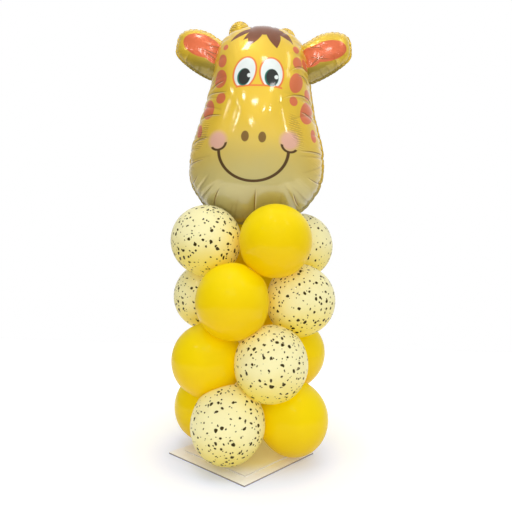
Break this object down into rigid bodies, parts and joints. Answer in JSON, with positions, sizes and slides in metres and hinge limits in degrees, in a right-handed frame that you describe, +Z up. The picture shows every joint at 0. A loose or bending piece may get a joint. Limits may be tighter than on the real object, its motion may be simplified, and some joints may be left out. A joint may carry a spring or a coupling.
{
  "type": "balloon column",
  "caption": "Party balloon column: a foil giraffe head on a spiral stack of yellow and speckled latex balloons, on a pole with a square white base.",
  "frame": {"origin": "middle of the lower base board's underside, on the floor", "axes": "+Z up along the pole, -Y towards the front that the giraffe faces, +X to the right as seen from the front"},
  "size_m": [0.6667, 0.6028, 1.6227],
  "materials": {
    "printed_foil": "gloss",
    "yellow_latex": "satin",
    "speckled_latex": "satin",
    "white_board": "matte",
    "pole_plastic": "satin"
  },
  "bodies": {
    "root": {"base_board_lower": "white_board", "base_board_upper": "white_board", "centre_pole": "pole_plastic", "giraffe_head_foil_balloon": "printed_foil", "speckled_balloon_row_1_back": "speckled_latex", "speckled_balloon_row_1_front": "speckled_latex", "speckled_balloon_row_2_back": "speckled_latex", "speckled_balloon_row_2_front": "speckled_latex", "speckled_balloon_row_3_left": "speckled_latex", "speckled_balloon_row_3_right": "speckled_latex", "speckled_balloon_row_4_left": "speckled_latex", "speckled_balloon_row_4_right": "speckled_latex", "yellow_balloon_row_1_left": "yellow_latex", "yellow_balloon_row_1_right": "yellow_latex", "yellow_balloon_row_2_left": "yellow_latex", "yellow_balloon_row_2_right": "yellow_latex", "yellow_balloon_row_3_back": "yellow_latex", "yellow_balloon_row_3_front": "yellow_latex", "yellow_balloon_row_4_back": "yellow_latex", "yellow_balloon_row_4_front": "yellow_latex"}
  },
  "joints": []
}
